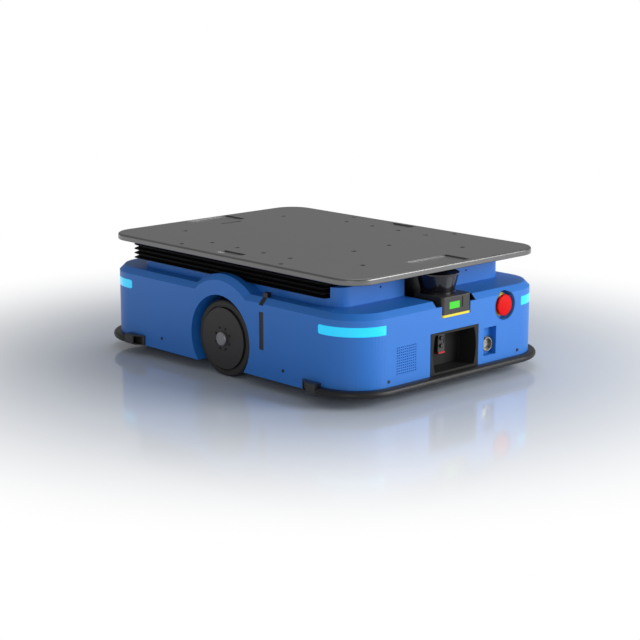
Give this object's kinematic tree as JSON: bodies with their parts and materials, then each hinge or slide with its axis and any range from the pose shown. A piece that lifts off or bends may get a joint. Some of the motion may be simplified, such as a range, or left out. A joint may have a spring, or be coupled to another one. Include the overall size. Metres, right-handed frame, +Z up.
{
  "type": "lifting autonomous mobile robot",
  "caption": "Low autonomous mobile robot with a lifting top plate over bellows, two sprung drive wheels, swivel casters, a front scanner, a charging port and wrap-around bumpers.",
  "frame": {"origin": "on the floor, under the middle of the overall box (bottom centre of the bounding box)", "axes": "+X forward, towards the scanner and the charging port; +Y to the robot's left; +Z up"},
  "size_m": [1.004, 0.728, 0.311],
  "materials": {
    "shell_blue": "satin",
    "deck_grey": "satin",
    "frame_grey": "satin",
    "steel": "satin",
    "socket_metal": "satin",
    "dark_screw": "satin",
    "motor_metal": "satin",
    "cap_metal": "satin",
    "bumper_rubber": "matte",
    "bellows_fabric": "matte",
    "tyre_rubber": "matte",
    "hub_plastic": "matte",
    "black_plastic": "matte",
    "grey_plastic": "matte",
    "yellow_plastic": "satin",
    "red_plastic": "gloss",
    "cyan_lens": "gloss",
    "green_display": "gloss",
    "optics_black": "gloss",
    "battery_case": "satin"
  },
  "bodies": {
    "chassis": {"base_frame": "frame_grey", "body_shell": "shell_blue", "neck_cover": "shell_blue", "shell_screws": "dark_screw", "front_bumper": "bumper_rubber", "rear_bumper": "bumper_rubber", "bumper_end_caps": "black_plastic", "scanner_bay": "black_plastic", "scanner_base": "grey_plastic", "scanner_stripe": "yellow_plastic", "scanner_display": "green_display", "scanner_optics": "optics_black", "speaker_grille": "shell_blue", "charge_port": "grey_plastic", "charge_contacts": "black_plastic", "contact_strips": "red_plastic", "service_pocket": "shell_blue", "lights_front": "cyan_lens", "lights_rear": "cyan_lens", "service_socket": "socket_metal", "estop_cup": "shell_blue", "estop_collar": "yellow_plastic", "battery_pack": "battery_case", "control_unit": "motor_metal", "drive_guide_posts": "steel", "lift_motor": "motor_metal", "lift_belt": "bumper_rubber", "lift_guides": "frame_grey", "side_sensor_left": "black_plastic", "side_sensor_right": "black_plastic"},
    "platform": {"top_plate": "deck_grey", "lift_carrier": "frame_grey", "lift_legs": "steel", "bellows": "bellows_fabric"},
    "jack_screw_front_left": {"jack_screw_front_left": "steel"},
    "jack_screw_front_right": {"jack_screw_front_right": "steel"},
    "jack_screw_rear_left": {"jack_screw_rear_left": "steel"},
    "jack_screw_rear_right": {"jack_screw_rear_right": "steel"},
    "lift_motor_pulley": {"lift_motor_pulley": "motor_metal"},
    "drive_unit_left": {"drive_unit_left": "motor_metal", "drive_springs_left": "tyre_rubber"},
    "drive_wheel_left": {"wheel_tyre_left": "tyre_rubber", "wheel_hub_left": "hub_plastic", "wheel_cap_left": "cap_metal"},
    "drive_unit_right": {"drive_unit_right": "motor_metal", "drive_springs_right": "tyre_rubber"},
    "drive_wheel_right": {"wheel_tyre_right": "tyre_rubber", "wheel_hub_right": "hub_plastic", "wheel_cap_right": "cap_metal"},
    "caster_fork_front_left": {"caster_fork_front_left": "steel"},
    "caster_wheel_front_left": {"caster_wheel_front_left": "tyre_rubber"},
    "caster_fork_front_right": {"caster_fork_front_right": "steel"},
    "caster_wheel_front_right": {"caster_wheel_front_right": "tyre_rubber"},
    "caster_fork_rear_left": {"caster_fork_rear_left": "steel"},
    "caster_wheel_rear_left": {"caster_wheel_rear_left": "tyre_rubber"},
    "caster_fork_rear_right": {"caster_fork_rear_right": "steel"},
    "caster_wheel_rear_right": {"caster_wheel_rear_right": "tyre_rubber"},
    "estop_plunger": {"estop_stem": "black_plastic"},
    "estop_knob": {"estop_head": "red_plastic"},
    "scanner_rotor": {"scanner_mirror": "motor_metal"}
  },
  "joints": [
    {"name": "platform_lift", "type": "slide", "parent": "chassis", "child": "platform", "axis": [0, 0, 1], "range_m": [0, 0.06], "deforming": ["bellows"]},
    {"name": "jack_screw_front_left_turn", "type": "hinge", "parent": "chassis", "child": "jack_screw_front_left", "pos_m": [0.24, 0.18, 0.112], "axis": [0, 0, 1], "range_deg": [-5, 2165]},
    {"name": "jack_screw_front_right_turn", "type": "hinge", "parent": "chassis", "child": "jack_screw_front_right", "pos_m": [0.24, -0.18, 0.112], "axis": [0, 0, 1], "range_deg": [-5, 2165]},
    {"name": "jack_screw_rear_left_turn", "type": "hinge", "parent": "chassis", "child": "jack_screw_rear_left", "pos_m": [-0.24, 0.18, 0.112], "axis": [0, 0, 1], "range_deg": [-5, 2165]},
    {"name": "jack_screw_rear_right_turn", "type": "hinge", "parent": "chassis", "child": "jack_screw_rear_right", "pos_m": [-0.24, -0.18, 0.112], "axis": [0, 0, 1], "range_deg": [-5, 2165]},
    {"name": "lift_motor_turn", "type": "hinge", "parent": "chassis", "child": "lift_motor_pulley", "pos_m": [-0.272, 0, 0.112], "axis": [0, 0, 1], "range_deg": [-5, 2165]},
    {"name": "suspension_left", "type": "slide", "parent": "chassis", "child": "drive_unit_left", "axis": [0, 0, 1], "range_m": [-0.01, 0.008], "stiffness_N_per_m": 20000, "springref_m": -0.01, "deforming": ["drive_springs_left"]},
    {"name": "drive_wheel_spin_left", "type": "hinge", "parent": "drive_unit_left", "child": "drive_wheel_left", "pos_m": [0, 0.308, 0.0975], "axis": [0, 1, 0], "continuous": true},
    {"name": "suspension_right", "type": "slide", "parent": "chassis", "child": "drive_unit_right", "axis": [0, 0, 1], "range_m": [-0.01, 0.008], "stiffness_N_per_m": 20000, "springref_m": -0.01, "deforming": ["drive_springs_right"]},
    {"name": "drive_wheel_spin_right", "type": "hinge", "parent": "drive_unit_right", "child": "drive_wheel_right", "pos_m": [0, -0.308, 0.0975], "axis": [0, 1, 0], "continuous": true},
    {"name": "caster_swivel_front_left", "type": "hinge", "parent": "chassis", "child": "caster_fork_front_left", "pos_m": [0.375, 0.235, 0.1], "axis": [0, 0, 1], "continuous": true},
    {"name": "caster_wheel_spin_front_left", "type": "hinge", "parent": "caster_fork_front_left", "child": "caster_wheel_front_left", "pos_m": [0.347, 0.235, 0.0375], "axis": [0, 1, 0], "continuous": true},
    {"name": "caster_swivel_front_right", "type": "hinge", "parent": "chassis", "child": "caster_fork_front_right", "pos_m": [0.375, -0.235, 0.1], "axis": [0, 0, 1], "continuous": true},
    {"name": "caster_wheel_spin_front_right", "type": "hinge", "parent": "caster_fork_front_right", "child": "caster_wheel_front_right", "pos_m": [0.347, -0.235, 0.0375], "axis": [0, 1, 0], "continuous": true},
    {"name": "caster_swivel_rear_left", "type": "hinge", "parent": "chassis", "child": "caster_fork_rear_left", "pos_m": [-0.375, 0.235, 0.1], "axis": [0, 0, 1], "continuous": true},
    {"name": "caster_wheel_spin_rear_left", "type": "hinge", "parent": "caster_fork_rear_left", "child": "caster_wheel_rear_left", "pos_m": [-0.403, 0.235, 0.0375], "axis": [0, 1, 0], "continuous": true},
    {"name": "caster_swivel_rear_right", "type": "hinge", "parent": "chassis", "child": "caster_fork_rear_right", "pos_m": [-0.375, -0.235, 0.1], "axis": [0, 0, 1], "continuous": true},
    {"name": "caster_wheel_spin_rear_right", "type": "hinge", "parent": "caster_fork_rear_right", "child": "caster_wheel_rear_right", "pos_m": [-0.403, -0.235, 0.0375], "axis": [0, 1, 0], "continuous": true},
    {"name": "estop_push", "type": "slide", "parent": "chassis", "child": "estop_plunger", "axis": [-1, 0, 0], "range_m": [0, 0.005], "stiffness_N_per_m": 3000, "springref_m": -0.004},
    {"name": "estop_twist", "type": "hinge", "parent": "estop_plunger", "child": "estop_knob", "pos_m": [0.473, 0.1815, 0.182], "axis": [1, 0, 0], "range_deg": [-30, 0], "stiffness_Nm_per_rad": 0.4, "springref_deg": 22.92},
    {"name": "scanner_spin", "type": "hinge", "parent": "chassis", "child": "scanner_rotor", "pos_m": [0.419, 0, 0.26], "axis": [0, 0, 1], "continuous": true}
  ],
  "couplings": [
    {"joint": "jack_screw_front_left_turn", "follows": "platform_lift", "rad_per_m": 628.32},
    {"joint": "jack_screw_front_right_turn", "follows": "platform_lift", "rad_per_m": 628.32},
    {"joint": "jack_screw_rear_left_turn", "follows": "platform_lift", "rad_per_m": 628.32},
    {"joint": "jack_screw_rear_right_turn", "follows": "platform_lift", "rad_per_m": 628.32},
    {"joint": "lift_motor_turn", "follows": "platform_lift", "rad_per_m": 628.32}
  ]
}
